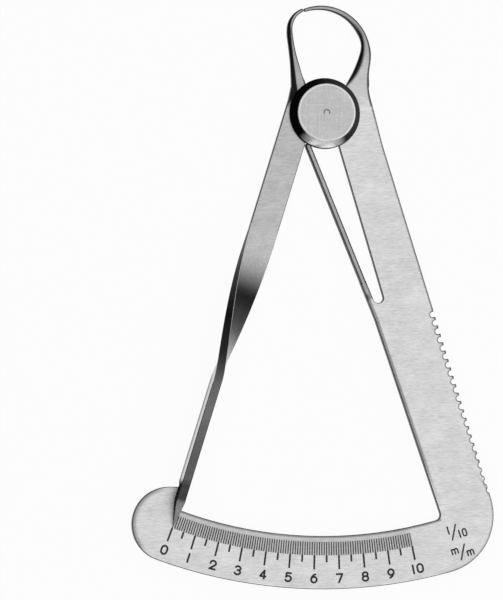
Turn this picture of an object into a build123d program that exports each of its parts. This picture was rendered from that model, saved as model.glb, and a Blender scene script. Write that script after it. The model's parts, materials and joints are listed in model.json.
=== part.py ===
from build123d import *
from math import asin, atan2, cos, degrees, radians, sin, sqrt
import os

# A spring-closed thickness caliper of flat stainless steel, with a curved scale of 0 to 10 mm.
# The origin is on the pivot axis, at the rear face of the plates. +Z looks out of the scale side
# and +Y points to the jaws. Angles on the plate are counted from straight down (-Y), and are
# positive towards the leg (+X). All lengths are in millimetres.

# Plate and pivot
plate_thickness = 1.5
edge_break = 0.1
lap_radius = 3.7
lap_gap = 0.06
lap_clearance = 0.12
stud_radius = 1.5
pivot_clearance = 0.03
stud_head_radius = 2.3
stud_head_height = 0.55
stud_neck_radius = 1.0
stud_pip_radius = 0.38
stud_pip_height = 0.3

# Hub cap and washers
cap_radius = 6.1
cap_face_radius = 4.83
cap_height = 2.55
cap_land = 0.35
cap_bevel_swell = 0.12
cap_lift = 0.06
cap_recess_radius = 4.4
cap_recess_depth = 0.55
washer_clearance = 0.05
washer_lift = 0.02
thrust_washer_radius = 3.8
thrust_washer_thickness = 0.18
spring_washer_radius = 3.6
spring_washer_thickness = 0.15

# Measuring geometry
jaw_reach = 18.2
full_opening = 10.0
zero_angle = -20.33

# Leg of the frame
leg_angle = 17.25
leg_edge = 8.1
leg_edge_start = 9.0
leg_inner_foot = -1.1
slot_edge_top = 0.85
slot_edge_foot = 0.45
slot_foot = 33.85
slot_foot_slant = 0.25
slot_corner_radius = 0.8

# Leaf spring, freed from the leg by the slot
spring_angle = 22.2
spring_offset = 4.7
spring_width = 1.0
spring_tip_clearance = 0.14
spring_root_rise = 0.45
spring_fork_drop = 2.25
spring_hinge_share = 0.15
spring_hinge_clearance = 0.07

# Scale plate
scale_inner_radius = 72.5
scale_outer_radius = 84.4
scale_width = 9.1
scale_corner_radius = 10.0
lobe_rise = 8.45
lobe_land = 2.67
lobe_step_radius = 1.0
scale_inner_corner = 1.0

# Finger serration on the outer edge of the leg
notch_count = 22
notch_corner_gap = 1.45
notch_pitch = 1.511
notch_radius = 0.48
notch_depth_first = 0.78
notch_depth_last = 0.28
tooth_tip_radius = 0.16

# Engraved marks, filled with black enamel
engrave_depth = 0.12
enamel_recess = 0.015
mark_margin = 1.0
tenth_mark_length = 2.3
half_mark_length = 3.5
whole_mark_length = 4.7
thin_line = 0.18
thick_line = 0.33
numeral_drop = 1.55
numeral_height = 1.75
numeral_width = 1.3
numeral_line = 0.34
numeral_spacing = 1.2
legend_angle = 17.7
legend_line = 0.27
slash_height = 2.65
slash_width = 1.55
ratio_drop = 1.8
ratio_height = 1.5
ratio_width = 0.9
ratio_spacing = 0.88
ratio_shift = 0.58
unit_drop = 5.5
unit_height = 1.1
unit_width = 1.3
unit_spacing = 1.28
unit_shift = 0.5

# Pointer lever
arm_offset = 4.15
arm_width = 4.95
arm_shoulder = 0.5
twist_start = 22.0
twist_length = 28.0
twist_steps = 12
twist_ease = 0.12
blade_shift = 0.38
edge_lift = 0.15
pointer_clearance = 0.25
pointer_overlap = 1.8
notch_clearance = 0.7
notch_slope = 0.6
facet_length = 4.1
pointer_tip_width = 0.22
pointer_tip_height = 0.3

# Jaws: bows of a tapering rounded section, which run a little way into the plates
root_height = 4.5
root_overlap = 0.3
jaw_steps = 6
jaw_tip_gap = 0.1
jaw_tip_side = 3.55
jaw_tip_thickness = 0.8
jaw_tip_width = 0.58
jaw_nose_length = 0.14
jaw_nose_share = 0.6
jaw_rounding = 0.46
jaw_rounding_limit = 0.42
jaw_rounding_fade = 3
right_bow_side = -0.65
right_bow_drop = 7.6
right_bow_radius = 8.05
right_bow_width = 1.36
right_bow_end = 76.0
left_bow_side = -2.4
left_bow_drop = 3.34
left_bow_radius = 3.58
left_bow_width = 0.92
left_bow_end = -90.0

# Each neck section is (share of the height from the root to the bow's centre, inner side, outer
# side), from the bow down to the root
right_neck = [(1.025, 6.28, 8.16), (0.715, 5.66, 8.02), (0.365, 4.73, 7.78), (0, 3.71, 7.72)]
left_neck = [(0.77, -5.25, -6.28), (0.56, -4.81, -6.02), (0.35, -4.22, -5.82),
             (0.17, -3.68, -5.74), (0, -3.21, -5.74)]
right_waist = (8.42, 1.3)
right_waist_lean = 0.08

# Sizes that follow from the ones above
full_sweep = degrees(2 * asin(full_opening / 2 / jaw_reach))
jaw_tip_height = sqrt(jaw_reach ** 2 - jaw_tip_side ** 2)
right_bow_centre = (right_bow_side, jaw_tip_height - right_bow_drop)
left_bow_centre = (left_bow_side, jaw_tip_height - left_bow_drop)
mark_start_radius = scale_inner_radius + mark_margin
tenth_mark_end = mark_start_radius + tenth_mark_length
half_mark_end = mark_start_radius + half_mark_length
whole_mark_end = mark_start_radius + whole_mark_length
numeral_radius = whole_mark_end + numeral_drop
pointer_reach = mark_start_radius + pointer_overlap
arm_angle = zero_angle + degrees(asin(arm_offset / pointer_reach))
pointer_tip_along = sqrt(pointer_reach ** 2 - arm_offset ** 2)
scale_outer_centre = scale_outer_radius - scale_inner_radius - scale_width
lobe_top = lobe_rise - scale_inner_radius
frame_lap_top = plate_thickness / 2 - lap_gap / 2
lever_lap_bottom = plate_thickness / 2 + lap_gap / 2
lap_corner = lap_radius / 2
cap_bottom = plate_thickness + cap_lift
cap_top = cap_bottom + cap_height
recess_top = cap_bottom + cap_recess_depth
groove_floor = plate_thickness - engrave_depth
enamel_thickness = engrave_depth - enamel_recess

# The free end of the leaf spring bears on the inner edge of the lever's arm
half_strip = spring_width / 2
arm_inner = arm_width / 2 - arm_offset
arm_outer = -arm_width / 2 - arm_offset
spring_lean = radians(spring_angle - arm_angle)
spring_bearing = arm_inner + half_strip + spring_tip_clearance
spring_tip = (spring_bearing + spring_offset * cos(spring_lean)) / sin(spring_lean)
spring_root = slot_foot - spring_root_rise
spring_fork = slot_foot + spring_fork_drop
spring_hinge = spring_root - spring_hinge_share * (spring_root - spring_tip)


def turned_point(angle, across, along):
    """A point in a frame turned about the pivot: across to the right, along down the limb."""
    turn = radians(angle)
    return (across * cos(turn) + along * sin(turn), across * sin(turn) - along * cos(turn))


def leg_point(across, along):
    return turned_point(leg_angle, across, along)


def arm_point(across, along):
    return turned_point(arm_angle, across, along)


def spring_point(across, along):
    return turned_point(spring_angle, across - spring_offset, along)


def scale_point(radius, angle):
    return turned_point(angle, 0, radius)


def mark_angle(opening):
    """Where the pointer stands when the jaws are open by this many millimetres."""
    return zero_angle + degrees(2 * asin(opening / 2 / jaw_reach))


def circle_crossing(angle, across, centre_y, radius):
    """How far down a limb's edge line it crosses a circle centred on the Y axis."""
    turn = radians(angle)
    side = across - centre_y * sin(turn)
    return sqrt(radius ** 2 - side ** 2) - centre_y * cos(turn)


def tip_angle_at(bow_centre, bow_radius, x):
    return degrees(asin((x - bow_centre[0]) / bow_radius))


def jaw_sections(side, bow_centre, bow_radius, tip_angle, end_angle, bow_width, neck):
    """Planes and sizes of the sections of a jaw, from its tip round the bow to its root. Angles on
    the bow are counted from straight up, and side is 1 for the right jaw and -1 for the left."""
    sections = []
    for step in range(jaw_steps + 1):
        share = step / jaw_steps
        turn = radians(tip_angle + (end_angle - tip_angle) * share)
        outward = Vector(sin(turn), cos(turn), 0)
        forward = Vector(cos(turn), -sin(turn), 0) * side
        centre = Vector(*bow_centre, plate_thickness / 2) + outward * bow_radius
        width = jaw_tip_width + (bow_width - jaw_tip_width) * share
        thickness = jaw_tip_thickness + (plate_thickness - jaw_tip_thickness) * sin(radians(90 * share))
        sections.append((Plane(centre, x_dir=outward, z_dir=forward), width, thickness))
    for share, inner, outer in neck:
        height = root_height + share * (bow_centre[1] - root_height)
        plane = Plane(((inner + outer) / 2, height, plate_thickness / 2), x_dir=(side, 0, 0),
                      z_dir=(0, -1, 0))
        sections.append((plane, abs(outer - inner), plate_thickness))
    return sections


def jaw_rounding_at(index, count, width, thickness):
    """The bow is well rounded, and its neck squares up towards the plate."""
    neck_share = max(0, index - jaw_steps) / (count - jaw_steps - 1)
    rounding = jaw_rounding + (edge_break - jaw_rounding) * neck_share ** jaw_rounding_fade
    return min(rounding, jaw_rounding_limit * width, jaw_rounding_limit * thickness)


def nose_sections(plane, width, thickness):
    """Planes, sizes and roundings of the nose that closes a jaw's tip."""
    rounding = jaw_rounding_at(0, jaw_steps + 2, width, thickness)
    return [(place, share * width, share * thickness, share * rounding)
            for place, share in ((plane, 1), (plane.offset(-jaw_nose_length), jaw_nose_share))]


# The tips meet on the circle of the jaws' reach. Each tip ends in a short nose
tip_stand_off = jaw_tip_gap / 2 + jaw_nose_length
right_sections = jaw_sections(1, right_bow_centre, right_bow_radius,
                              tip_angle_at(right_bow_centre, right_bow_radius,
                                           tip_stand_off - jaw_tip_side),
                              right_bow_end, right_bow_width, right_neck)
left_sections = jaw_sections(-1, left_bow_centre, left_bow_radius,
                             tip_angle_at(left_bow_centre, left_bow_radius,
                                          -tip_stand_off - jaw_tip_side),
                             left_bow_end, left_bow_width, left_neck)

with BuildPart() as right_jaw:
    for index, (plane, width, thickness) in enumerate(right_sections):
        with BuildSketch(plane):
            RectangleRounded(width, thickness,
                             jaw_rounding_at(index, len(right_sections), width, thickness))
    loft()
    extrude(right_jaw.faces().sort_by(Axis.Y)[0], amount=root_overlap)
    for plane, width, thickness, rounding in nose_sections(*right_sections[0]):
        with BuildSketch(plane):
            RectangleRounded(width, thickness, rounding)
    loft()

with BuildPart() as left_jaw:
    for index, (plane, width, thickness) in enumerate(left_sections):
        with BuildSketch(plane):
            RectangleRounded(width, thickness,
                             jaw_rounding_at(index, len(left_sections), width, thickness))
    loft()
    extrude(left_jaw.faces().sort_by(Axis.Y)[0], amount=root_overlap)
    for plane, width, thickness, rounding in nose_sections(*left_sections[0]):
        with BuildSketch(plane):
            RectangleRounded(width, thickness, rounding)
    loft()


def digit_strokes(digit, side, top):
    """The centre lines of a plain block digit or letter, half as wide as side and half as high as
    top. A stroke of two points is straight, and one of three points is an arc."""
    if digit == "0":
        return [((-side, side - top), (-side, top - side)),
                ((-side, top - side), (0, top), (side, top - side)),
                ((side, top - side), (side, side - top)),
                ((side, side - top), (0, -top), (-side, side - top))]
    if digit == "1":
        return [((0, top), (0, -top))]
    if digit == "2":
        return [((-side, top - side), (-0.05 * side, top), (side, top - 0.95 * side)),
                ((side, top - 0.95 * side), (0.85 * side, 0.1 * top), (0.4 * side, -0.2 * top)),
                ((0.4 * side, -0.2 * top), (-side, -top)),
                ((-side, -top), (side, -top))]
    if digit == "3":
        return [((-0.85 * side, 0.72 * top), (0.1 * side, top), (0.9 * side, 0.52 * top)),
                ((0.9 * side, 0.52 * top), (0.6 * side, 0.16 * top), (-0.1 * side, 0.06 * top)),
                ((-0.1 * side, 0.06 * top), (0.72 * side, -0.1 * top), (side, -0.46 * top)),
                ((side, -0.46 * top), (0, -top), (-side, -0.66 * top))]
    if digit == "4":
        return [((0.45 * side, -top), (0.45 * side, top)),
                ((0.45 * side, top), (-side, -0.42 * top)),
                ((-side, -0.42 * top), (side, -0.42 * top))]
    if digit == "5":
        return [((0.85 * side, top), (-0.7 * side, top)),
                ((-0.7 * side, top), (-0.85 * side, 0.05 * top)),
                ((-0.85 * side, 0.05 * top), (0.3 * side, 0.26 * top), (side, -0.36 * top)),
                ((side, -0.36 * top), (0, -top), (-side, -0.7 * top))]
    if digit in ("6", "9"):
        turn = 1 if digit == "6" else -1
        low = turn * (side - top)
        return [((-turn * side, low), (0, low + turn * side), (turn * side, low)),
                ((turn * side, low), (0, -turn * top), (-turn * side, low)),
                ((-turn * side, low), (-turn * 0.55 * side, turn * 0.5 * top),
                 (turn * 0.5 * side, turn * top))]
    if digit == "7":
        return [((-side, top), (side, top)),
                ((side, top), (-0.25 * side, -top))]
    if digit == "8":
        upper = 0.46 * top
        lower = top - upper
        waist = top - 2 * upper
        return [((0, waist), (-0.9 * side, waist + upper), (0, top)),
                ((0, top), (0.9 * side, waist + upper), (0, waist)),
                ((0, waist), (-side, waist - lower), (0, -top)),
                ((0, -top), (side, waist - lower), (0, waist))]
    if digit == "/":
        return [((-side, -top), (side, top))]
    shoulder = top - 0.5 * side
    return [((-side, -top), (-side, top)),
            ((0, -top), (0, shoulder)),
            ((side, -top), (side, shoulder)),
            ((-side, shoulder), (-0.5 * side, top), (0, shoulder)),
            ((0, shoulder), (0.5 * side, top), (side, shoulder))]


def block_character(digit, width, height, line):
    """A digit or letter engraved with a round cutter, so that its strokes have round ends."""
    with BuildSketch() as character:
        for stroke in digit_strokes(digit, (width - line) / 2, (height - line) / 2):
            if len(stroke) == 2:
                start = Vector(*stroke[0])
                run = Vector(*stroke[1]) - start
                with Locations(start + run * 0.5):
                    SlotCenterToCenter(run.length, line, rotation=degrees(atan2(run.Y, run.X)))
            else:
                SlotArc(ThreePointArc(*stroke, mode=Mode.PRIVATE), line)
    return character.sketch


def engraved_line(start_radius, end_radius, angle, width):
    """A straight mark on the scale, pointing at the pivot."""
    middle = scale_point((start_radius + end_radius) / 2, angle)
    with Locations(Location((middle[0], middle[1], 0), (0, 0, angle))):
        Rectangle(width, end_radius - start_radius)


def tenth_sketch():
    for step in range(round(full_opening * 10) + 1):
        if step % 5:
            engraved_line(mark_start_radius, tenth_mark_end, mark_angle(step / 10), thin_line)


def half_sketch():
    for step in range(round(full_opening)):
        angle = mark_angle(step + 0.5)
        engraved_line(mark_start_radius, tenth_mark_end, angle, thin_line)
        engraved_line(tenth_mark_end, half_mark_end, angle, thick_line)


def whole_sketch():
    for step in range(round(full_opening) + 1):
        angle = mark_angle(step)
        engraved_line(mark_start_radius, tenth_mark_end, angle, thin_line)
        engraved_line(tenth_mark_end, whole_mark_end, angle, thick_line)


def written_row(text, centre, angle, width, height, line, spacing, drops):
    """A row of characters about a centre, turned with the scale; drops lower single characters."""
    for index, character in enumerate(text):
        across = (index - (len(text) - 1) / 2) * spacing
        shift = turned_point(angle, across, drops[index])
        with Locations(Location((centre[0] + shift[0], centre[1] + shift[1], 0), (0, 0, angle))):
            if character == "/":
                add(block_character(character, slash_width, slash_height, line))
            else:
                add(block_character(character, width, height, line))


def numeral_sketch():
    for value in range(round(full_opening) + 1):
        angle = mark_angle(value)
        text = str(value)
        written_row(text, scale_point(numeral_radius, angle), angle, numeral_width, numeral_height,
                    numeral_line, numeral_spacing, [0] * len(text))


def legend_sketch():
    written_row("1/10", scale_point(mark_start_radius + ratio_drop, legend_angle), legend_angle,
                ratio_width, ratio_height, legend_line, ratio_spacing,
                [-ratio_shift, 0, ratio_shift, ratio_shift])
    written_row("m/m", scale_point(mark_start_radius + unit_drop, legend_angle), legend_angle,
                unit_width, unit_height, legend_line, unit_spacing, [-unit_shift, 0, unit_shift])


# The black enamel in the engraved marks lies a little below the face of the plate
with BuildPart() as tenth_marks:
    with BuildSketch(Plane.XY.offset(groove_floor)):
        tenth_sketch()
    extrude(amount=enamel_thickness)

with BuildPart() as half_millimetre_marks:
    with BuildSketch(Plane.XY.offset(groove_floor)):
        half_sketch()
    extrude(amount=enamel_thickness)

with BuildPart() as millimetre_marks:
    with BuildSketch(Plane.XY.offset(groove_floor)):
        whole_sketch()
    extrude(amount=enamel_thickness)

with BuildPart() as scale_numerals:
    with BuildSketch(Plane.XY.offset(groove_floor)):
        numeral_sketch()
    extrude(amount=enamel_thickness)

with BuildPart() as unit_legend:
    with BuildSketch(Plane.XY.offset(groove_floor)):
        legend_sketch()
    extrude(amount=enamel_thickness)


def outer_arc_point(x, y):
    """The point of the scale's outer arc that lies beyond this one, as seen from its centre."""
    out = scale_outer_radius / sqrt(x ** 2 + (y - scale_outer_centre) ** 2)
    return (x * out, scale_outer_centre + (y - scale_outer_centre) * out)


def is_tooth_tip(place):
    """The corners that the notches cut into the outer edge of the leg."""
    across = place.X * cos(radians(leg_angle)) + place.Y * sin(radians(leg_angle))
    along = place.X * sin(radians(leg_angle)) - place.Y * cos(radians(leg_angle))
    near = notch_first - notch_pitch < along < notch_last + notch_pitch
    return near and abs(across - leg_edge) < notch_radius / 10


# Frame plate: right jaw, leg and scale in one blank, with the slot that frees the spring
corner_along = circle_crossing(leg_angle, leg_edge - scale_corner_radius, scale_outer_centre,
                               scale_outer_radius - scale_corner_radius)
corner_centre = leg_point(leg_edge - scale_corner_radius, corner_along)
corner_start = leg_point(leg_edge, corner_along)
corner_end = outer_arc_point(*corner_centre)
lobe_step_along = (-lobe_top + arm_offset * sin(radians(-arm_angle))) / cos(radians(arm_angle))
lobe_step_top = arm_point(-arm_offset, lobe_step_along)
lobe_side = lobe_step_top[0] - lobe_land
lobe_fall = scale_outer_centre - lobe_top
lobe_radius = ((scale_outer_radius ** 2 - lobe_fall ** 2 - lobe_side ** 2)
               / (2 * (scale_outer_radius + lobe_fall)))
lobe_height = lobe_top - lobe_radius
lobe_start = outer_arc_point(lobe_side, lobe_height)
notch_last = corner_along - notch_corner_gap
notch_first = notch_last - notch_pitch * (notch_count - 1)
scale_start = arm_point(-arm_offset, sqrt(scale_inner_radius ** 2 - arm_offset ** 2))
leg_inner_corner = leg_point(leg_inner_foot, sqrt(scale_inner_radius ** 2 - leg_inner_foot ** 2))
slot_foot_left = spring_point(half_strip, slot_foot - slot_foot_slant)
slot_foot_right = leg_point(slot_edge_foot, slot_foot)
right_root_inner = (right_neck[-1][1], root_height)
right_root_outer = (right_neck[-1][2], root_height)
leg_shoulder = leg_point(leg_edge, leg_edge_start)

with BuildPart() as frame_plate:
    with BuildSketch() as blank:
        with BuildLine():
            Spline(right_root_outer, right_waist, leg_shoulder,
                   tangents=[(right_waist_lean, -1), (sin(radians(leg_angle)), -cos(radians(leg_angle)))])
            Line(leg_shoulder, corner_start)
            TangentArc(corner_start, corner_end, tangent=(sin(radians(leg_angle)),
                                                          -cos(radians(leg_angle))))
            ThreePointArc(corner_end, (0, scale_outer_centre - scale_outer_radius), lobe_start)
            ThreePointArc(lobe_start, (lobe_side - lobe_radius, lobe_height), (lobe_side, lobe_top))
            Polyline((lobe_side, lobe_top), lobe_step_top, scale_start)
            ThreePointArc(scale_start, (0, -scale_inner_radius), leg_inner_corner)
            Polyline(leg_inner_corner,
                     spring_point(-half_strip, spring_fork),
                     spring_point(-half_strip, spring_hinge),
                     spring_point(half_strip, spring_hinge),
                     slot_foot_left,
                     slot_foot_right,
                     leg_point(slot_edge_top, lap_corner),
                     (lap_corner, lap_corner),
                     right_root_inner,
                     right_root_outer)
        make_face()
        for place, radius in ((lobe_step_top, lobe_step_radius),
                              (leg_inner_corner, scale_inner_corner),
                              (slot_foot_left, slot_corner_radius),
                              (slot_foot_right, slot_corner_radius)):
            fillet(blank.vertices().sort_by_distance(Vector(*place))[0], radius)
        for notch in range(notch_count):
            share = notch / (notch_count - 1)
            depth = notch_depth_first + (notch_depth_last - notch_depth_first) * share ** 2
            along = notch_first + notch_pitch * notch
            with Locations(leg_point(leg_edge + notch_radius - depth, along)):
                Circle(notch_radius, mode=Mode.SUBTRACT)
        with Locations(spring_point(0, spring_hinge)):
            Circle(half_strip + spring_hinge_clearance, mode=Mode.SUBTRACT)
    extrude(amount=plate_thickness)
    fillet([edge for edge in frame_plate.edges().filter_by(Axis.Z) if is_tooth_tip(edge @ 0.5)],
           tooth_tip_radius)
    chamfer(frame_plate.edges().group_by(Axis.Z)[0] + frame_plate.edges().group_by(Axis.Z)[-1],
            edge_break)
    with BuildSketch():
        Circle(lap_radius)
    extrude(amount=plate_thickness)
    add(right_jaw.part)
    with BuildSketch(Plane.XY.offset(frame_lap_top)):
        Circle(lap_radius + lap_clearance)
    extrude(amount=plate_thickness, mode=Mode.SUBTRACT)
    Cylinder(stud_radius, plate_thickness, align=(Align.CENTER, Align.CENTER, Align.MIN),
             mode=Mode.SUBTRACT)
    Cone(stud_head_radius, stud_radius, stud_head_height,
         align=(Align.CENTER, Align.CENTER, Align.MIN), mode=Mode.SUBTRACT)
    with BuildSketch(Plane.XY.offset(groove_floor)):
        tenth_sketch()
        half_sketch()
        whole_sketch()
        numeral_sketch()
        legend_sketch()
    extrude(amount=2 * engrave_depth, mode=Mode.SUBTRACT)

# Free part of the leaf spring: it flexes about a line a little above its root, and its rounded
# end bears on the inner edge of the lever's arm under the rim of the cap
with BuildPart() as spring_tongue:
    tongue_foot = spring_point(0, spring_hinge)
    tongue_tip = spring_point(0, spring_tip)
    with BuildSketch():
        with Locations(Location(((tongue_foot[0] + tongue_tip[0]) / 2,
                                 (tongue_foot[1] + tongue_tip[1]) / 2, 0), (0, 0, spring_angle))):
            SlotCenterToCenter(spring_hinge - spring_tip, spring_width, rotation=90)
    extrude(amount=plate_thickness)
    chamfer(spring_tongue.edges().group_by(Axis.Z)[0] + spring_tongue.edges().group_by(Axis.Z)[-1],
            edge_break)

# Pointer lever: left jaw, lap disc and a flat arm that is twisted on edge and ground to a pointer
left_root_inner = (left_neck[-1][1], root_height)
left_root_outer = (left_neck[-1][2], root_height)
twist_end = twist_start + twist_length
on_edge_top = edge_lift + arm_width
pointer_bottom = plate_thickness + pointer_clearance
notch_reach = lobe_step_along - notch_clearance
arm_direction = Vector(*arm_point(0, 1))
arm_across = Vector(*arm_point(1, 0))


def eased(share):
    """The share of the quarter turn that is done. It starts and ends gently and is even between."""
    rate = 1 / (1 - twist_ease)
    if share < twist_ease:
        return rate * share ** 2 / (2 * twist_ease)
    if share > 1 - twist_ease:
        return 1 - rate * (1 - share) ** 2 / (2 * twist_ease)
    return rate * (share - twist_ease / 2)


def twisted_section(share):
    """The plane across the arm at a share of its twist. The arm rolls up on its inner edge, and
    most of its small lift and outward shift comes in the first half of the twist."""
    done = eased(share)
    turn = radians(90 * done)
    moved = 1 - (1 - done) ** 3
    height = arm_width / 2 * sin(turn) + plate_thickness / 2 * cos(turn) + edge_lift * moved
    place = arm_point(-arm_offset - blade_shift * moved, twist_start + twist_length * share)
    across = (arm_across.X * cos(turn), arm_across.Y * cos(turn), -sin(turn))
    return Plane((place[0], place[1], height), x_dir=across, z_dir=arm_direction)


# The arm's end stands on edge. It is notched from below to pass over the scale plate, and its
# end is ground down and thinned on both sides to a point that reads against the marks
arm_plane = Plane(origin=(0, 0, 0), x_dir=arm_across, z_dir=(0, 0, 1))
blade_middle = -arm_offset - blade_shift
blade_plane = Plane(origin=arm_point(blade_middle, 0) + (0,), x_dir=arm_direction,
                    z_dir=arm_across * -1)
facet_start = pointer_tip_along - facet_length
facet_clear_along = pointer_tip_along + plate_thickness

with BuildPart() as pointer_blade:
    with BuildSketch(blade_plane):
        with BuildLine():
            Polyline((twist_end, edge_lift),
                     (notch_reach, edge_lift),
                     (notch_reach + notch_slope, pointer_bottom),
                     (pointer_tip_along, pointer_bottom),
                     (pointer_tip_along, pointer_bottom + pointer_tip_height),
                     (facet_start, on_edge_top),
                     (twist_end, on_edge_top),
                     (twist_end, edge_lift))
        make_face()
    extrude(amount=plate_thickness / 2, both=True)
    long_edges = [edge for edge in pointer_blade.edges() if edge.length > facet_length
                  and abs(edge.tangent_at(0.5).Z) < 0.01]
    chamfer(long_edges, edge_break)
    with BuildSketch(arm_plane):
        for side in (1, -1):
            with BuildLine():
                Polyline((side * plate_thickness / 2 + blade_middle, -facet_start),
                         (side * pointer_tip_width / 2 - arm_offset, -pointer_tip_along),
                         (side * pointer_tip_width / 2 - arm_offset, -facet_clear_along),
                         (side * plate_thickness + blade_middle, -facet_clear_along),
                         (side * plate_thickness + blade_middle, -facet_start),
                         (side * plate_thickness / 2 + blade_middle, -facet_start))
            make_face()
    extrude(amount=2 * on_edge_top, mode=Mode.SUBTRACT)

with BuildPart() as arm_twist:
    for step in range(twist_steps + 1):
        with BuildSketch(twisted_section(step / twist_steps)):
            RectangleRounded(arm_width, plate_thickness, edge_break)
    loft()
    extrude(arm_twist.faces().sort_by(Axis.Y)[-1], amount=root_overlap)

with BuildPart() as pointer_lever:
    with BuildSketch() as lever_blank:
        with BuildLine():
            Polyline(left_root_outer,
                     arm_point(arm_outer, -arm_shoulder),
                     arm_point(arm_outer, twist_start),
                     arm_point(arm_inner, twist_start),
                     arm_point(arm_inner, lap_corner),
                     (-lap_corner, lap_corner),
                     left_root_inner,
                     left_root_outer)
        make_face()
    extrude(amount=plate_thickness)
    chamfer(pointer_lever.edges().group_by(Axis.Z)[0] + pointer_lever.edges().group_by(Axis.Z)[-1],
            edge_break)
    with BuildSketch():
        Circle(lap_radius)
    extrude(amount=plate_thickness)
    add(left_jaw.part)
    add(arm_twist.part)
    add(pointer_blade.part)
    with BuildSketch():
        Circle(lap_radius + lap_clearance)
    extrude(amount=lever_lap_bottom, mode=Mode.SUBTRACT)
    Cylinder(stud_radius + pivot_clearance, plate_thickness,
             align=(Align.CENTER, Align.CENTER, Align.MIN), mode=Mode.SUBTRACT)

# Pivot stud: its countersunk head is flush with the rear face, and its neck is riveted in the cap
with BuildPart() as pivot_stud:
    with BuildSketch(Plane.XZ):
        with BuildLine():
            Polyline((0, 0), (stud_head_radius, 0), (stud_radius, stud_head_height),
                     (stud_radius, recess_top), (stud_neck_radius, recess_top),
                     (stud_neck_radius, cap_top - stud_pip_height),
                     (stud_pip_radius, cap_top - stud_pip_height),
                     (stud_pip_radius, cap_top), (0, cap_top), (0, 0))
        make_face()
    revolve(axis=Axis.Z)

# Hub cap: a turned disc with a bevelled side, hollow underneath for the two washers
cap_bevel_middle = ((cap_radius + cap_face_radius) / 2 + cap_bevel_swell,
                    (cap_bottom + cap_land + cap_top) / 2 + cap_bevel_swell)
with BuildPart() as hub_cap:
    with BuildSketch(Plane.XZ):
        with BuildLine():
            Polyline((stud_neck_radius, recess_top), (cap_recess_radius, recess_top),
                     (cap_recess_radius, cap_bottom), (cap_radius, cap_bottom),
                     (cap_radius, cap_bottom + cap_land))
            ThreePointArc((cap_radius, cap_bottom + cap_land), cap_bevel_middle,
                          (cap_face_radius, cap_top))
            Polyline((cap_face_radius, cap_top), (stud_pip_radius, cap_top),
                     (stud_pip_radius, cap_top - stud_pip_height),
                     (stud_neck_radius, cap_top - stud_pip_height),
                     (stud_neck_radius, recess_top))
        make_face()
    revolve(axis=Axis.Z)

# Thrust washer: a flat ring that slides on the lever's lap disc
with BuildPart() as thrust_washer:
    with BuildSketch(Plane.XY.offset(plate_thickness + washer_lift)):
        Circle(thrust_washer_radius)
        Circle(stud_radius + washer_clearance, mode=Mode.SUBTRACT)
    extrude(amount=thrust_washer_thickness)

# Spring washer: a dished ring that is pressed between the thrust washer and the cap
dish_foot = plate_thickness + washer_lift + thrust_washer_thickness
dish_top = recess_top - spring_washer_thickness
dish_inner = stud_radius + washer_clearance
with BuildPart() as spring_washer:
    with BuildSketch(Plane.XZ):
        with BuildLine():
            Polyline((spring_washer_radius, dish_foot),
                     (spring_washer_radius, dish_foot + spring_washer_thickness),
                     (dish_inner, recess_top),
                     (dish_inner, dish_top),
                     (spring_washer_radius, dish_foot))
        make_face()
    revolve(axis=Axis.Z)

pieces = {
    "frame_plate": frame_plate,
    "spring_tongue": spring_tongue,
    "pointer_lever": pointer_lever,
    "pivot_stud": pivot_stud,
    "thrust_washer": thrust_washer,
    "spring_washer": spring_washer,
    "hub_cap": hub_cap,
    "tenth_marks": tenth_marks,
    "half_millimetre_marks": half_millimetre_marks,
    "millimetre_marks": millimetre_marks,
    "scale_numerals": scale_numerals,
    "unit_legend": unit_legend,
}

os.makedirs("parts", exist_ok=True)
for name, piece in pieces.items():
    piece.part.label = name
    export_step(piece.part, f"parts/{name}.step")
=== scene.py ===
import json
import math

import bmesh
import bpy
from mathutils import Matrix, Vector


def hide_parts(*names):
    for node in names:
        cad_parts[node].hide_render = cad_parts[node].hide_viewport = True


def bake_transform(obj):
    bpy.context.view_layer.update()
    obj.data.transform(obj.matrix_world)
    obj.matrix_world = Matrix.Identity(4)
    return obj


# A spring-closed thickness caliper of flat stainless steel, lying on its back on a pale floor.
# It is put together here as on a bench: plate, leaf spring, lever, pivot stud, washers and cap,
# and the enamel of its marks.
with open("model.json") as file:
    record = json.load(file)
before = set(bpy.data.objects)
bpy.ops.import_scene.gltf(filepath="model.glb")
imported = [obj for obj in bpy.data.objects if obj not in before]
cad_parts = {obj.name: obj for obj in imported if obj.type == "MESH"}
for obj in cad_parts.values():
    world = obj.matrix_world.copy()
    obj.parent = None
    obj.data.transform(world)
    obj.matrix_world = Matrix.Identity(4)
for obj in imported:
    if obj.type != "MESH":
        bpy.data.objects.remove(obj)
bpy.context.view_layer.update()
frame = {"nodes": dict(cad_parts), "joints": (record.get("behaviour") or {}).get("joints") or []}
nodes = frame["nodes"]
mm = 0.001


# Frame plate: right jaw, leg and scale in one blank of stainless sheet. It is blanked out, its
# faces are ground with a fine grain across the leg, and its edges are broken by tumbling. The
# blanked walls are rougher, and they and the broken edges are painted dark: painted shade.
def wire(tree, value, socket):
    """Joins an output to a socket, or sets the socket where the value is a plain one."""
    if isinstance(value, bpy.types.NodeSocket):
        tree.links.new(value, socket)
    else:
        socket.default_value = value


def fill(tree, node, inputs):
    """Wires or sets a node's inputs."""
    for socket, value in inputs.items():
        wire(tree, value, node.inputs[socket])


def add(tree, kind, inputs=None, **settings):
    """Adds one shader node with its settings and inputs."""
    made = tree.nodes.new("ShaderNode" + kind)
    for name, value in settings.items():
        setattr(made, name, value)
    fill(tree, made, inputs or {})
    return made


def sums(tree, operation, first, second=0.0, third=0.0):
    """The result of a Math node on one to three values."""
    return add(tree, "Math", {0: first, 1: second, 2: third}, operation=operation).outputs[0]


def product(tree, first, *others):
    """All the values multiplied."""
    for other in others:
        first = sums(tree, "MULTIPLY", first, other)
    return first


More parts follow.
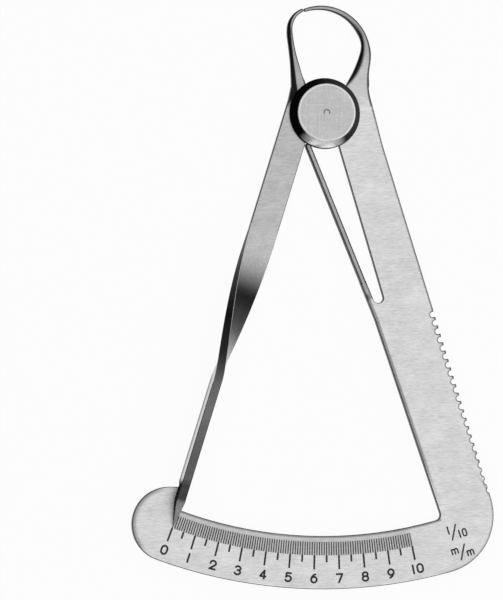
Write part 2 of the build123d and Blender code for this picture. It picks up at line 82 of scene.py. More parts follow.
def vectors(tree, operation, first, second=(0, 0, 0)):
    """The outputs of a Vector Math node on one or two vectors."""
    return add(tree, "VectorMath", {0: first, 1: second}, operation=operation).outputs


def reach(tree, place, direction):
    """How far a place lies in a direction."""
    return vectors(tree, "DOT_PRODUCT", place, direction)["Value"]


def ramp(tree, value, low, high, start=0.0, end=1.0):
    """A smooth step from start to end as the value goes from low to high."""
    return add(tree, "MapRange", {0: value, 1: low, 2: high, 3: start, 4: end},
               interpolation_type="SMOOTHSTEP").outputs[0]


def fade(tree, value, low, high, start=0.0, end=1.0):
    """A ramp over a length, with low and high in millimetres."""
    return ramp(tree, value, low * mm, high * mm, start, end)


def near(tree, value, middle, low, high):
    """1 up to a low distance from the middle and 0 beyond a high one, all in millimetres."""
    off = sums(tree, "ABSOLUTE", sums(tree, "SUBTRACT", value, middle * mm))
    return fade(tree, off, low, high, 1.0, 0.0)


def between(tree, share, first, second):
    """The first value where the share is 0, and the second where it is 1."""
    step = sums(tree, "SUBTRACT", second, first)
    return sums(tree, "MULTIPLY_ADD", step, share, first)


def darken(tree, tone, share, factor):
    """A tone, multiplied by the factor where the share is 1."""
    return product(tree, tone, between(tree, share, 1.0, factor))


def new_group(name, inputs, outputs):
    """A shader group with its inputs' standing values and the names of its outputs."""
    group = bpy.data.node_groups.new(name, "ShaderNodeTree")
    for socket, value in inputs.items():
        kind = "NodeSocketVector" if isinstance(value, tuple) else "NodeSocketFloat"
        group.interface.new_socket(socket, in_out="INPUT", socket_type=kind).default_value = value
    for socket in outputs:
        group.interface.new_socket(socket, in_out="OUTPUT", socket_type="NodeSocketFloat")
    given = group.nodes.new("NodeGroupInput").outputs
    return group, given, group.nodes.new("NodeGroupOutput").inputs


def use_group(tree, group, **values):
    """Places a group in a material with that material's own values."""
    made = tree.nodes.new("ShaderNodeGroup")
    made.node_tree = group
    fill(tree, made, {name.title(): value for name, value in values.items()})
    return made.outputs


streak_roughness = 0.6


def streaks(tree, place, length, width, turn, detail):
    """Noise that is drawn out along a line turned from X, from about 0 to 1."""
    rotation = add(tree, "CombineXYZ", {2: turn}).outputs[0]
    size = add(tree, "CombineXYZ", {0: length, 1: width, 2: width}).outputs[0]
    drawn = add(tree, "Mapping", {"Vector": place, "Rotation": rotation, "Scale": size},
                vector_type="TEXTURE").outputs[0]
    return add(tree, "TexNoise", {"Vector": drawn, "Scale": 1.0, "Detail": detail,
                                  "Roughness": streak_roughness}).outputs[0]


def swing(tree, noise, strength):
    """Noise that swings about 0, by up to half the strength."""
    return product(tree, sums(tree, "SUBTRACT", noise, 0.5), strength)


# Grinding lines: fine scratches side by side, wider bands of them, and faint clouds. Scratches
# and bands are sized in line widths.
scratch_length = 7.0
band_length = 70.0
band_width = 3.0
cloud_length = 4 * mm
cloud_width = 2.5 * mm
ground_grain, given, result = new_group(
    "ground_grain", {"Turn": 0.0, "Line": 0.14 * mm, "Lines": 0.5, "Bands": 0.25, "Clouds": 0.12},
    ("Tone", "Relief"))
place = add(ground_grain, "TexCoord").outputs["Object"]
line = streaks(ground_grain, place, product(ground_grain, given["Line"], scratch_length),
               given["Line"], given["Turn"], detail=3.0)
band = streaks(ground_grain, place, product(ground_grain, given["Line"], band_length),
               product(ground_grain, given["Line"], band_width), given["Turn"], detail=1.0)
cloud = streaks(ground_grain, place, cloud_length, cloud_width, given["Turn"], detail=5.0)
relief = sums(ground_grain, "ADD", swing(ground_grain, line, given["Lines"]),
              swing(ground_grain, band, given["Bands"]))
clouded = sums(ground_grain, "ADD", relief, swing(ground_grain, cloud, given["Clouds"]))
wire(ground_grain, sums(ground_grain, "ADD", clouded, 1.0), result["Tone"])
wire(ground_grain, relief, result["Relief"])

# Edges of a blank: where its surface has turned away from the ground face to a broken edge, and
# on to a blanked wall, given as one less the cosine of the turn. Surfaces that lean away from the
# light, to the left and back, get painted shade, which keeps half of their tone.
face_up = (0.0, 0.0, 1.0)
broken_from = (0.05, 0.2)
wall_from = (0.42, 0.75)
shaded_side = (-0.75, 0.66, 0.0)
shaded_side_from = (0.2, 0.5)
shaded_side_tone = 0.5
blank_edges, given, result = new_group(
    "blank_edges", {"Face": face_up}, ("Break", "Wall", "Side shade"))
outward = add(blank_edges, "TexCoord").outputs["Normal"]
lean = sums(blank_edges, "ABSOLUTE", reach(blank_edges, outward, given["Face"]))
turned = sums(blank_edges, "SUBTRACT", 1.0, lean)
wall = ramp(blank_edges, turned, *wall_from)
broken = ramp(blank_edges, turned, *broken_from)
wire(blank_edges, sums(blank_edges, "SUBTRACT", broken, wall), result["Break"])
wire(blank_edges, wall, result["Wall"])
wire(blank_edges, ramp(blank_edges, reach(blank_edges, outward, shaded_side), *shaded_side_from),
     result["Side shade"])


def flat_blank(tree):
    """The ground face looks up, and the face, broken edge and wall have their plain tones."""
    return face_up, (1.0, 1.0, 1.0), shaded_side_tone, 1.0


def flat_place(tree):
    """The place on a blank without its height, and how far up the blank it is."""
    place = add(tree, "TexCoord").outputs["Object"]
    return (vectors(tree, "MULTIPLY", place, (1, 1, 0))["Vector"],
            add(tree, "SeparateXYZ", {0: place}).outputs["Y"])


# Jaw lines, in millimetres from the pivot: two arcs, each with its centre and radius, and the
# height where they meet. A hollow arc has a negative radius.
jaw_inner_line = ((-1.9, 11.5, 9.0), (0.9, 11.5, 6.2), 11.5)
jaw_outer_line = ((21.38, 5.56, -13.65), (-0.54, 10.01, 8.69), 8.7)
arcs_overlap = 0.8

# Painted shade on the jaw, in millimetres: how far beyond a line it lies, the heights above the
# pivot over which it sets in and eases off, and the share that is then left
jaw_inner_shade = {"edge": (-0.4, 0.17), "sets in": (3.0, 4.5), "eases": (13.5, 16.5), "left": 0.35}
jaw_edge_shade = {"edge": (-0.5, -0.22), "sets in": (0.8, 1.6), "eases": (11.0, 15.0), "left": 0.3}
neck_darkens = (0.0, 6.0)
bow_darkens = (6.0, 13.0)
jaw_side_shade_heights = (3.0, 6.0)
jaw_flank_shade_tone = 0.03
neck_tone = 0.85
bow_tone = 0.72
jaw_edge_shade_tone = 0.16
jaw_side_shade_tone = 0.1


def beyond_arcs(tree, neck, bow, meeting):
    """How far a place is outside a jaw's line."""
    flat, up = flat_place(tree)
    beyond = []
    for x, y, radius in (neck, bow):
        distance = vectors(tree, "DISTANCE", flat, (x * mm, y * mm, 0))["Value"]
        outside = sums(tree, "SUBTRACT", distance, abs(radius) * mm)
        beyond.append(product(tree, outside, math.copysign(1.0, radius)))
    in_bow = fade(tree, up, meeting - arcs_overlap, meeting + arcs_overlap)
    return between(tree, in_bow, *beyond)


def frame_jaw(tree, up):
    """Painted shade darkens the jaw's inner side and its outer edge, both less so at the top of
    the bow. The jaw darkens up its neck, and more so up the bow."""
    inner = beyond_arcs(tree, *jaw_inner_line)
    flank_shade = product(tree, fade(tree, inner, *jaw_inner_shade["edge"], 1.0, 0.0),
                    fade(tree, up, *jaw_inner_shade["sets in"]),
                    fade(tree, up, *jaw_inner_shade["eases"], 1.0, jaw_inner_shade["left"]))
    outer = beyond_arcs(tree, *jaw_outer_line)
    edge_shade = product(tree, fade(tree, outer, *jaw_edge_shade["edge"]),
                   fade(tree, up, *jaw_edge_shade["sets in"]),
                   fade(tree, up, *jaw_edge_shade["eases"], 1.0, jaw_edge_shade["left"]))
    darkened = product(tree, fade(tree, up, *neck_darkens, 1.0, neck_tone),
                     fade(tree, up, *bow_darkens, 1.0, bow_tone))
    return darken(tree, darken(tree, darkened, flank_shade, jaw_flank_shade_tone), edge_shade, jaw_edge_shade_tone)


# Leg edges with painted shade along them, in millimetres: the direction outward, the edge's
# distance, the width of the shade, and the heights over which it sets in and ends. Its core is a
# share of its width.
leg_across = (0.955, 0.2965, 0.0)
leg_down = (0.2965, -0.955, 0.0)
leg_edge_shades = (
    (leg_across, 7.95, 0.22, (-60.2, -59.8), (-7.2, -6.8)),
    ((0.966, 0.258, 0.0), 8.3, 0.22, (-7.2, -6.8), (0.8, 1.2)),
    ((-0.926, -0.378, 0.0), 5.107, 0.62, (-35.6, -35.2), (-31.2, -30.8)),
    ((-0.947, -0.322, 0.0), 2.94, 0.62, (-68.5, -58.0), (-35.6, -35.2)))
edge_shade_core = 0.4
edge_shade_tone = 0.42

# Serration, in millimetres: notches of one radius whose centres drift outwards down the leg
notch_first = 38.495
notch_pitch = 1.511
notch_steps = 21
notch_across = 7.8
notch_drift = 0.5
notch_radius = 0.58
notch_rim = (0.08, 0.2)
notch_shade_tone = 0.6


def notch_rims(tree, flat):
    """A narrow rim of painted shade round each notch of the serration."""
    past_first = sums(tree, "SUBTRACT", reach(tree, flat, leg_down), notch_first * mm)
    along = sums(tree, "DIVIDE", past_first, notch_pitch * mm)
    step = sums(tree, "MINIMUM", sums(tree, "ROUND", along), notch_steps)
    step = sums(tree, "MAXIMUM", step, 0.0)
    share = sums(tree, "DIVIDE", step, notch_steps)
    centre = sums(tree, "MULTIPLY_ADD", product(tree, share, share), notch_drift * mm,
                  notch_across * mm)
    away = add(tree, "CombineXYZ", {
        0: sums(tree, "SUBTRACT", reach(tree, flat, leg_across), centre),
        1: product(tree, sums(tree, "SUBTRACT", along, step), notch_pitch * mm)}).outputs[0]
    inner, outer = notch_rim
    return fade(tree, vectors(tree, "LENGTH", away)["Value"], notch_radius + inner,
                notch_radius + outer, 1.0, 0.0)


# Scale, in millimetres: its inner edge, its tenth marks, the directions across its first and last
# mark, and where its wear and the painted shade at its inner edge set in and end, by radius or
# across a mark or the leg
scale_inner_radius = 72.5
tenth_mark_start = 73.5
tenth_mark_end = 75.8
zero_across = (0.938, -0.347, 0.0)
ten_across = (0.98, 0.2, 0.0)
scale_from = (scale_inner_radius - 0.3, scale_inner_radius - 0.1)
inner_edge_shade_until = (scale_inner_radius + 0.2, scale_inner_radius + 0.5)
wiped_from = (tenth_mark_start - 0.5, tenth_mark_start + 0.3)
worn_until = (tenth_mark_end - 0.1, tenth_mark_end + 0.1)
zero_from = (-0.3, 0.3)
ten_until = (-0.1, 0.2)
leg_from = (-1.6, -1.0)
inner_edge_shade_tone = 0.45
dulled_tone = 0.85
wiped_tone = 0.74

# Round ends of the scale, in millimetres: centre, radius, width of the rim of painted shade, the
# side that it is on, and its tone. Towards that side it sets in over the given shares of the
# radius.
scale_end_shades = (
    ((-26.8, -70.45, 0.0), 6.3, 0.9, (-0.95, 0.3, 0.0), 0.42),
    ((19.44, -69.01, 0.0), 9.9, 0.35, (0.93, -0.37, 0.0), 0.55))
rim_shares = (0.3, 0.7)


def scale_wear_and_shade(tree, flat):
    """The scale is dull up to the ends of the tenth marks, more so where enamel has been wiped
    over them, and painted shade darkens it towards its inner edge."""
    radius = vectors(tree, "LENGTH", flat)["Value"]
    worn = fade(tree, radius, *wiped_from, dulled_tone, wiped_tone)
    past_marks = fade(tree, radius, *worn_until)
    past_ten = fade(tree, reach(tree, flat, ten_across), *ten_until)
    worn = between(tree, past_ten, between(tree, past_marks, worn, 1.0), 1.0)
    inner_edge_shade = fade(tree, radius, *inner_edge_shade_until, inner_edge_shade_tone, 1.0)
    on_scale = product(tree, fade(tree, radius, *scale_from),
                       fade(tree, reach(tree, flat, zero_across), *zero_from),
                       fade(tree, reach(tree, flat, leg_across), *leg_from, 1.0, 0.0))
    return between(tree, on_scale, 1.0, product(tree, worn, inner_edge_shade))


# Root of the leaf spring: its line from the hinge of its bend, and the edges of its painted
# shading along and beside that line, in millimetres
leaf_turn = math.radians(22.2)
leaf_line = Vector((-math.sin(leaf_turn), math.cos(leaf_turn), 0))
leaf_across = Vector((math.cos(leaf_turn), math.sin(leaf_turn), 0))
leaf_hinge = next(Vector(joint["pos_m"]) for joint in frame["joints"]
                  if joint["name"] == "spring_flex").to_2d().to_3d()
root_from = (-3.9, -3.2)
flank_until = (0.55, 0.6)
crown_until = (0.18, 0.26)
leaf_crown_shade_tone = 0.6
leaf_flank_shade_tone = 0.29


def leaf_root_shading(tree, flat):
    """The shading of the leaf spring's crown and chamfered flanks is painted on into its flat root
    on
    the plate: painted shade, darker on the flanks.
    """
    away = vectors(tree, "SUBTRACT", flat, leaf_hinge)["Vector"]
    aside = sums(tree, "ABSOLUTE", reach(tree, away, leaf_across))
    on_root = product(tree, fade(tree, reach(tree, away, leaf_line), *root_from),
                      fade(tree, aside, *flank_until, 1.0, 0.0))
    return between(tree, on_root, 1.0, fade(tree, aside, *crown_until, leaf_crown_shade_tone, leaf_flank_shade_tone))


def frame_blank(tree):
    """The frame's flat face, with painted shade on its jaw, along its edges, round its notches, at
    the scale's ends and inner edge, its worn scale, and the leaf's painted shading on its root.
    """
    flat, up = flat_place(tree)
    face = product(tree, frame_jaw(tree, up), scale_wear_and_shade(tree, flat), leaf_root_shading(tree, flat))
    # Painted shade round the notches.
    face = darken(tree, face, notch_rims(tree, flat), notch_shade_tone)
    # Painted shade along the leg's edges.
    for outward, edge, width, sets_in, ends in leg_edge_shades:
        edge_shade = product(
            tree, near(tree, reach(tree, flat, outward), edge, edge_shade_core * width, width),
            fade(tree, up, *sets_in), fade(tree, up, *ends, 1.0, 0.0))
        face = darken(tree, face, edge_shade, edge_shade_tone)
    # Painted shade round the scale's ends, on one side of each.
    for centre, radius, width, side, tone in scale_end_shades:
        away = vectors(tree, "SUBTRACT", flat, Vector(centre) * mm)["Vector"]
        inner, outer = (share * radius for share in rim_shares)
        rim = product(tree, near(tree, vectors(tree, "LENGTH", away)["Value"], radius, 0.0, width),
                      fade(tree, reach(tree, away, side), inner, outer))
        face = darken(tree, face, rim, tone)
    # Painted shade on the side away from the light, deeper up the jaw.
    side_shade = fade(tree, up, *jaw_side_shade_heights, shaded_side_tone, jaw_side_shade_tone)
    return face_up, (face, 1.0, 1.0), side_shade, 1.0


def new_material(name):
    """A material with its node tree and its shader."""
    made = bpy.data.materials.new(name)
    made.use_nodes = True
    return made, made.node_tree, made.node_tree.nodes["Principled BSDF"]


def grey(tree, tone):
    """A colour without hue."""
    return add(tree, "CombineColor", {0: tone, 1: tone, 2: tone}).outputs[0]


def bumped(tree, strength, distance, height):
    """The normal of a surface with a fine relief."""
    return add(tree, "Bump", {"Strength": strength, "Distance": distance,
                              "Height": height}).outputs[0]


grain_depth = 0.004 * mm
grain_strength = 0.2
grain_roughness = 0.3


def steel(name, tones, roughness, grain, shape=flat_blank):
    """Ground stainless steel. Tones and roughness are for the face, the broken edge and the wall,
    and shape gives the direction of the ground face, a factor for each of the three tones, the
    factor of the painted shade on the side away from the light, and how much is bare metal."""
    made, tree, shader = new_material(name)
    face, shades, side_shade, metal = shape(tree)
    lines = use_group(tree, ground_grain, **grain)
    edges = use_group(tree, blank_edges, face=face)
    tone = [product(tree, shade, plain) for shade, plain in zip(shades, tones)]
    tone = between(tree, edges["Wall"], between(tree, edges["Break"], tone[0], tone[1]), tone[2])
    tone = product(tree, darken(tree, tone, edges["Side shade"], side_shade), lines["Tone"])
    rough = between(tree, edges["Break"], roughness[0], roughness[1])
    rough = between(tree, edges["Wall"], rough, roughness[2])
    rough = sums(tree, "MULTIPLY_ADD", sums(tree, "SUBTRACT", lines["Tone"], 1.0),
                 grain_roughness, rough)
    fill(tree, shader, {
        "Base Color": grey(tree, tone), "Metallic": metal, "Roughness": rough,
        "Specular IOR Level": 0.0,
        "Normal": bumped(tree, grain_strength, grain_depth, lines["Relief"])})
    return made


def dress(piece, made):
    """Gives a piece one material."""
    if not piece.material_slots:
        piece.data.materials.append(made)
    for place in piece.material_slots:
        place.link = "OBJECT"
        place.material = made


sheet_grain = {"turn": 0.05, "line": 0.13 * mm, "lines": 0.8, "bands": 0.12, "clouds": 0.45}
# Its broken edges and walls are painted near black, as painted shade.
plate_steel = steel("plate_steel", tones=(0.84, 0.035, 0.07), roughness=(0.36, 0.4, 0.42),
                    grain=sheet_grain, shape=frame_blank)
dress(nodes["frame_plate"], plate_steel)

# Leaf spring: a narrow strip that the long slot leaves standing beside the leg. It is one piece
# with the frame plate at its root, so it bends from there, and its rounded tip bears on the
# lever's arm.
leaf_width = 0.99 * mm
leaf_foot = -0.003 * mm
leaf_thickness = 1.506 * mm
leaf_chamfer = 0.28 * mm
leaf_root = -1.0 * mm
leaf_tip = 25.4 * mm
leaf_rows = 40
tip_radius = 0.495 * leaf_width
tip_segments = 8
level_within = 0.01 * mm
rim_angle = math.radians(60)
sharp_angle = math.radians(30)

leaf = bmesh.new()
bmesh.ops.create_grid(leaf, x_segments=1, y_segments=leaf_rows, size=0.5)
bmesh.ops.scale(leaf, vec=(leaf_width, leaf_tip - leaf_root, 1.0), verts=leaf.verts)
bmesh.ops.translate(leaf, vec=(0, (leaf_tip + leaf_root) / 2, leaf_foot), verts=leaf.verts)
tip_corners = [vert for vert in leaf.verts if vert.co.y > leaf_tip - leaf_chamfer]
bmesh.ops.bevel(leaf, geom=tip_corners, offset=tip_radius, segments=tip_segments, profile=0.5,
                affect="VERTICES", material=-1)
raised = bmesh.ops.extrude_face_region(leaf, geom=leaf.faces[:])["geom"]
bmesh.ops.translate(leaf, vec=(0, 0, leaf_thickness),
                    verts=[part for part in raised if isinstance(part, bmesh.types.BMVert)])
bmesh.ops.recalc_face_normals(leaf, faces=leaf.faces[:])
rims = [edge for edge in leaf.edges
        if abs(edge.verts[0].co.z - edge.verts[1].co.z) < level_within
        and max(edge.verts[0].co.y, edge.verts[1].co.y) > leaf_root + level_within
        and edge.calc_face_angle(0.0) > rim_angle]
bmesh.ops.bevel(leaf, geom=rims, offset=leaf_chamfer, segments=1, profile=0.5, affect="EDGES",
                material=-1)
bmesh.ops.rotate(leaf, cent=(0, 0, 0), matrix=Matrix.Rotation(leaf_turn, 3, "Z"), verts=leaf.verts)
bmesh.ops.translate(leaf, vec=leaf_hinge, verts=leaf.verts)
leaf_mesh = bpy.data.meshes.new("leaf_strip")
leaf.to_mesh(leaf_mesh)
leaf.free()
for facet in leaf_mesh.polygons:
    facet.use_smooth = True
leaf_mesh.set_sharp_from_angle(angle=sharp_angle)
leaf_strip = bpy.data.objects.new("leaf_strip", leaf_mesh)
bpy.context.scene.collection.objects.link(leaf_strip)
# Its face is painted darker than the plate's, which it is one piece with: painted shade.
leaf_steel = steel("leaf_steel", tones=(0.5, 0.31, 0.11), roughness=(0.36, 0.4, 0.42),
                   grain=sheet_grain)
dress(leaf_strip, leaf_steel)
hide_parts("spring_tongue")
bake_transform(leaf_strip)

# Pointer lever: jaw, disc, arm and pointer in one blank of the same sheet, finished a shade
# duller. The arm is twisted a quarter turn, so its ground face turns to the right and its
# blanked wall comes up as the pointer's top, which is painted dark: painted shade.
arm_turn = math.radians(-17.17)
arm_down = (math.sin(arm_turn), -math.cos(arm_turn), 0.0)
arm_across = (math.cos(arm_turn), math.sin(arm_turn), 0.0)
lever_outer_line = ((193.3, 32.4, 200.0), (-2.6, 14.9, 3.25), 14.0)
lever_neck_across = (0.961, 0.275, 0.0)
twist_start = 22.0
twist_end = 50.0
pointer_facet = 70.9

# Where the lever's painted shade and highlights, and its darker jaw, set in and end. Those of the
# twist are in radians of its turn, and the others in millimetres: beyond a line of the jaw, up
# from the pivot, above the back, or down the arm.
twist_shade_sets_in = (0.25, 0.7)
twist_shade_ends = (1.0, 1.56)
edge_highlight_sets_in = (0.2, 0.5)
edge_highlight_ends = (1.3, 1.5)
foot_shade_sets_in = (1.45, 1.56)
foot_shade_ends = (1.6, 2.6)
lever_outer_shade = {"edge": (-0.14, 0.14), "sets in": (0.3, 2.5)}
lever_inner_shade = {"edge": (-2.12, -1.98), "sets in": (2.5, 4.0), "ends": (9.5, 11.5)}
lever_jaw_from = (1.0, 4.0)
lever_jaw_side_shade = (0.0, 3.0)
side_shade_until = (20.0, 30.0)
wall_shade_lifts = (44.0, 53.0)
wall_shade_returns = (54.0, 64.0)
pointer_shade_from = (66.9, 68.3)
facet_highlight_from = (pointer_facet - 0.4, pointer_facet + 0.6)
twist_shade_tone = 0.045
foot_shade_tone = 0.1
lever_jaw_tone = 0.8
lever_edge_shade_tone = 0.4
lever_side_shade_tone = 0.16
edge_highlight_tone = 16.0
wall_shade_and_light_tones = (0.2, 1.45)
wall_shade_return_tone = 0.7
facet_highlight_tone = 4.5
pointer_face_shade_tone = 0.04
pointer_wall_shade_tone = 0.6


def part_of(tree, direction, share):
    """A direction, made as long as the share."""
    return add(tree, "VectorMath", {0: direction, "Scale": share}, operation="SCALE").outputs[0]


def twisted_blank(tree):
    """The arm's ground face turns with the twist, and painted shade darkens it there. A painted
    highlight lies on the broken edge over it. Painted shade keeps the wall dark until it stands on
    top, where painted light brightens it; further down it dims again, and a painted highlight lies
    on the pointer's facet. Painted shade darkens the foot of the upright arm and makes the
    pointer's end black and non-metallic. Painted shade darkens the jaw's outer side and its inner
    edge."""
    place = add(tree, "TexCoord").outputs["Object"]
    flat, up = flat_place(tree)
    along = reach(tree, place, arm_down)
    height = add(tree, "SeparateXYZ", {0: place}).outputs["Z"]
    turn = add(tree, "MapRange", {0: along, 1: twist_start * mm, 2: twist_end * mm, 3: 0.0,
                                  4: math.pi / 2}).outputs[0]
    ground = vectors(tree, "ADD", part_of(tree, arm_across, sums(tree, "SINE", turn)),
                     part_of(tree, face_up, sums(tree, "COSINE", turn)))["Vector"]
    twist_shade = sums(tree, "SUBTRACT", ramp(tree, turn, *twist_shade_sets_in),
                    ramp(tree, turn, *twist_shade_ends))
    edge_highlight = sums(tree, "SUBTRACT", ramp(tree, turn, *edge_highlight_sets_in),
                  ramp(tree, turn, *edge_highlight_ends))
    foot_shade = product(tree, ramp(tree, turn, *foot_shade_sets_in),
                   fade(tree, height, *foot_shade_ends, 1.0, 0.0))
    flank_shade = product(tree, fade(tree, up, *lever_outer_shade["sets in"]),
                    fade(tree, beyond_arcs(tree, *lever_outer_line), *lever_outer_shade["edge"]))
    edge_shade = product(tree, fade(tree, reach(tree, flat, lever_neck_across), *lever_inner_shade["edge"]),
                   fade(tree, up, *lever_inner_shade["sets in"]),
                   fade(tree, up, *lever_inner_shade["ends"], 1.0, 0.0))
    pointer_shade = fade(tree, along, *pointer_shade_from)
    face = between(tree, twist_shade, between(tree, edge_shade, 1.0, lever_edge_shade_tone), twist_shade_tone)
    for share, factor in ((foot_shade, foot_shade_tone), (pointer_shade, pointer_face_shade_tone), (flank_shade, jaw_flank_shade_tone)):
        face = darken(tree, face, share, factor)
    face = product(tree, face, fade(tree, up, *lever_jaw_from, 1.0, lever_jaw_tone))
    wall = product(tree, fade(tree, along, *wall_shade_lifts, *wall_shade_and_light_tones),
                   fade(tree, along, *wall_shade_returns, 1.0, wall_shade_return_tone),
                   fade(tree, along, *facet_highlight_from, 1.0, facet_highlight_tone))
    wall = darken(tree, wall, pointer_shade, pointer_wall_shade_tone)
    # Painted shade on the side away from the light: it fades out down the arm and is deeper on the
    # jaw.
    side_shade = product(tree, fade(tree, along, *side_shade_until, shaded_side_tone, 1.0),
                   fade(tree, up, *lever_jaw_side_shade, 1.0, lever_side_shade_tone))
    return (ground, (face, between(tree, edge_highlight, 1.0, edge_highlight_tone), wall), side_shade,
            sums(tree, "SUBTRACT", 1.0, pointer_shade))


# Its broken edges and walls are painted dark, as painted shade.
lever_steel = steel("lever_steel", tones=(0.62, 0.04, 0.14), roughness=(0.34, 0.36, 0.4),
                    grain={"turn": 0.12, "line": 0.13 * mm, "lines": 0.8, "bands": 0.15,
                           "clouds": 0.6}, shape=twisted_blank)
dress(nodes["pointer_lever"], lever_steel)

# Pivot stud: a turned rivet whose countersunk head is ground flush with the back of the plate.
# Its small end shows as a pip in the middle of the cap.
stud_steel = steel("stud_steel", tones=(0.66, 0.5, 0.4), roughness=(0.3, 0.3, 0.35),
                   grain={"turn": 0.05, "line": 0.1 * mm, "lines": 0.3, "bands": 0.12,
                          "clouds": 0.1})
dress(nodes["pivot_stud"], stud_steel)

# Washers: a flat ring on the lever's disc, and a dished spring ring that the cap holds down.
# Both are stamped from thin hard strip and are hidden by the cap.
washer_steel = steel("washer_steel", tones=(0.5, 0.4, 0.3), roughness=(0.4, 0.4, 0.45),
                     grain={"turn": 0.8, "line": 0.1 * mm, "lines": 0.3, "bands": 0.2,
                            "clouds": 0.2})
for name in ("thrust_washer", "spring_washer"):
    dress(nodes[name], washer_steel)

# Hub cap: a turned disc. Its face is lapped in two directions, a painted highlight lies on its
# rim, and its bevelled side is painted black and non-metallic as shade, a little lighter towards
# the light, with a painted highlight in front. Painted shade darkens the back of the ring round
# the pip. Sizes are in millimetres, and a range after a direction is of the cosine to it.
cap_face_radius = 4.83
cap_radius = 6.1
bevel_from = (cap_face_radius - 0.02, cap_face_radius + 0.03)
front_highlight_until = (cap_radius - 0.2, cap_radius - 0.08)
rim_edges = (0.1, 0.2)
pip_radius = 0.48
pip_edges = (0.06, 0.17)
cap_back = (0, 1, 0)
pip_shade_from = (-0.7, -0.2)
cap_front = (-0.1, -0.995, 0)
front_highlight_from = (0.7, 0.97)
cap_light_side = (0.96, 0.28, 0)
light_from = (-0.2, 0.9)
chatter_scale = 34.0
chatter_range = (0.25, 0.7)
chatter_left = 0.95
# The rim's tone is a painted highlight, the bevel's near-black tones are painted shade, and the
# pip's is painted shade.
cap_tones = {"face": 0.67, "rim": 0.95, "bevel": (0.004, 0.055), "front_highlight": 0.95, "pip": 0.2}
cap_roughness = {"face": 0.36, "bevel": 0.5, "front_highlight": 0.38}
cap_bump = 0.3
cap_steel, tree, shader = new_material("cap_steel")
flat = flat_place(tree)[0]
radius = vectors(tree, "LENGTH", flat)["Value"]
outward = vectors(tree, "NORMALIZE", flat)["Vector"]
rows = use_group(tree, ground_grain, turn=0.0, line=0.13 * mm, lines=0.5, bands=0.15, clouds=0.3)
columns = use_group(tree, ground_grain, turn=math.pi / 2, line=0.13 * mm, lines=0.4, bands=0.2,
                    clouds=0.0)
weave = product(tree, rows["Tone"], columns["Tone"])
on_bevel = fade(tree, radius, *bevel_from)
on_rim = near(tree, radius, cap_face_radius, *rim_edges)
chatter = add(tree, "TexNoise", {"Vector": outward, "Scale": chatter_scale,
                                 "Detail": 3.0}).outputs[0]
front_highlight = product(tree, ramp(tree, reach(tree, outward, cap_front), *front_highlight_from),
                 ramp(tree, chatter, *chatter_range, chatter_left, 1.0),
                 fade(tree, radius, *front_highlight_until, 1.0, 0.0))
bevel_side_shade = ramp(tree, reach(tree, outward, cap_light_side), *light_from, *cap_tones["bevel"])
bevel = between(tree, front_highlight, bevel_side_shade, cap_tones["front_highlight"])
pip_shade = product(tree, near(tree, radius, pip_radius, *pip_edges),
                    ramp(tree, reach(tree, outward, cap_back), *pip_shade_from))
lapped = product(tree, weave, between(tree, pip_shade, cap_tones["face"], cap_tones["pip"]))
tone = between(tree, on_rim, between(tree, on_bevel, lapped, bevel), cap_tones["rim"])
bevel_shade = product(tree, on_bevel, sums(tree, "SUBTRACT", 1.0, front_highlight),
                    sums(tree, "SUBTRACT", 1.0, on_rim))
bevel_rough = between(tree, front_highlight, cap_roughness["bevel"], cap_roughness["front_highlight"])
fill(tree, shader, {
    "Base Color": grey(tree, tone), "Metallic": sums(tree, "SUBTRACT", 1.0, bevel_shade),
    "Roughness": between(tree, on_bevel, cap_roughness["face"], bevel_rough),
    "Specular IOR Level": 0.0,
    "Normal": bumped(tree, cap_bump, grain_depth, between(tree, on_bevel, weave, 1.0))})
dress(nodes["hub_cap"], cap_steel)

# Marks, numerals and legend: cut with a round-nosed graver and filled with black enamel, which is
# wiped off a hair below the face and has dried a little uneven.
enamel_relief = 0.01 * mm
enamel_bump = 0.3
enamel_tones = (0.008, 0.03)
enamel_roughness = (0.45, 0.65)
dried_grains = 4 / mm
dried_range = (0.3, 0.7)
enamel, tree, shader = new_material("black_enamel")
dried = add(tree, "TexNoise", {"Vector": add(tree, "TexCoord").outputs["Object"],
                               "Scale": dried_grains, "Detail": 3.0}).outputs[0]
fill(tree, shader, {
    "Base Color": grey(tree, ramp(tree, dried, *dried_range, *enamel_tones)),
    "Roughness": ramp(tree, dried, *dried_range, *enamel_roughness),
    "Normal": bumped(tree, enamel_bump, enamel_relief, dried)})
for name in ("tenth_marks", "half_millimetre_marks", "millimetre_marks", "scale_numerals",
             "unit_legend"):
    dress(nodes[name], enamel)

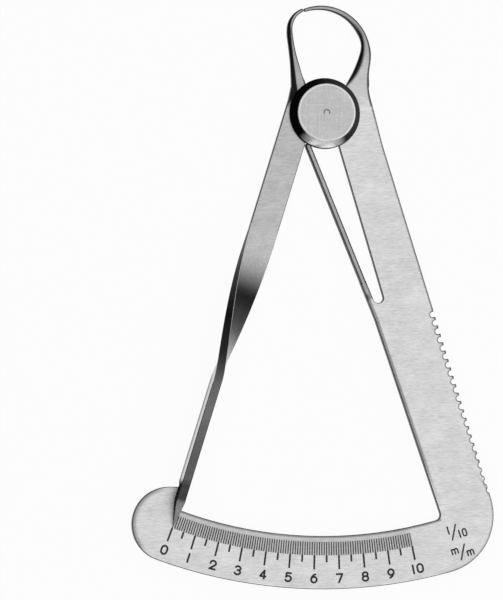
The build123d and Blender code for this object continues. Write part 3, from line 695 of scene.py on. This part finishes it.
# Floor: a white sheet just under the plates. It shows white to the camera and in the steel, and
# keeps a faint shadow of the caliper.
floor_size = 20.0
floor_drop = 0.03 * mm
paper_tone = 0.93
white_share = 0.95
bpy.ops.mesh.primitive_plane_add(size=floor_size, location=(0, 0, -floor_drop))
floor = bpy.context.object
floor.name = "floor"
paper, tree, shader = new_material("white_floor")
fill(tree, shader, {"Base Color": (paper_tone, paper_tone, paper_tone, 1.0), "Roughness": 1.0,
                    "Specular IOR Level": 0.0})
seen = add(tree, "LightPath").outputs
shown = sums(tree, "MAXIMUM", sums(tree, "MAXIMUM", seen["Is Camera Ray"], seen["Is Glossy Ray"]),
             seen["Is Transmission Ray"])
white = add(tree, "Emission", {"Color": (1.0, 1.0, 1.0, 1.0), "Strength": 1.0}).outputs[0]
mixed = add(tree, "MixShader", {0: product(tree, shown, white_share), 1: shader.outputs[0],
                                2: white}).outputs[0]
wire(tree, mixed, tree.nodes["Material Output"].inputs["Surface"])
floor.data.materials.append(paper)

# Light: one wide soft light overhead that leans a little to the right, in a dim room. A pale strip
# at floor height is the far end of the floor.
dome_lean = (0.3, 0.0, 1.0)
dome_edge = (0.42, 0.62)
room_level = 0.2
strip_edge = (0.06, 0.09)
world = bpy.context.scene.world or bpy.data.worlds.new("studio")
bpy.context.scene.world = world
world.use_nodes = True
tree = world.node_tree
tree.nodes.clear()
direction = add(tree, "TexCoord").outputs["Generated"]
dome = ramp(tree, reach(tree, direction, dome_lean), *dome_edge, room_level, 1.0)
height = add(tree, "SeparateXYZ", {0: direction}).outputs["Z"]
strip = ramp(tree, sums(tree, "ABSOLUTE", height), *strip_edge, 1.0, 0.0)
background = add(tree, "Background", {"Strength": sums(tree, "MAXIMUM", dome, strip)})
wire(tree, background.outputs[0], add(tree, "OutputWorld").inputs["Surface"])

# Camera: nearly overhead, a little to the left of the pivot and in front of it, with a long lens
# that takes in the whole tool. The focal length is in pixels of an image 600 high.
image_height = 600
focal_pixels = 4830.12
camera_place = Vector((-130.38, -62.33, 819.43)) * mm
camera_turn = Vector((0.0365, -0.1429, 0.0026))
camera_data = bpy.data.cameras.new("camera")
camera_data.sensor_width = 36.0
camera_data.lens = focal_pixels * camera_data.sensor_width / image_height
camera_data.clip_start = 0.01
camera = bpy.data.objects.new("camera", camera_data)
bpy.context.scene.collection.objects.link(camera)
camera.matrix_world = (Matrix.Translation(camera_place)
                       @ Matrix.Rotation(camera_turn.length, 4, camera_turn.normalized()))
bpy.context.scene.camera = camera
bpy.context.scene.view_settings.view_transform = "Standard"
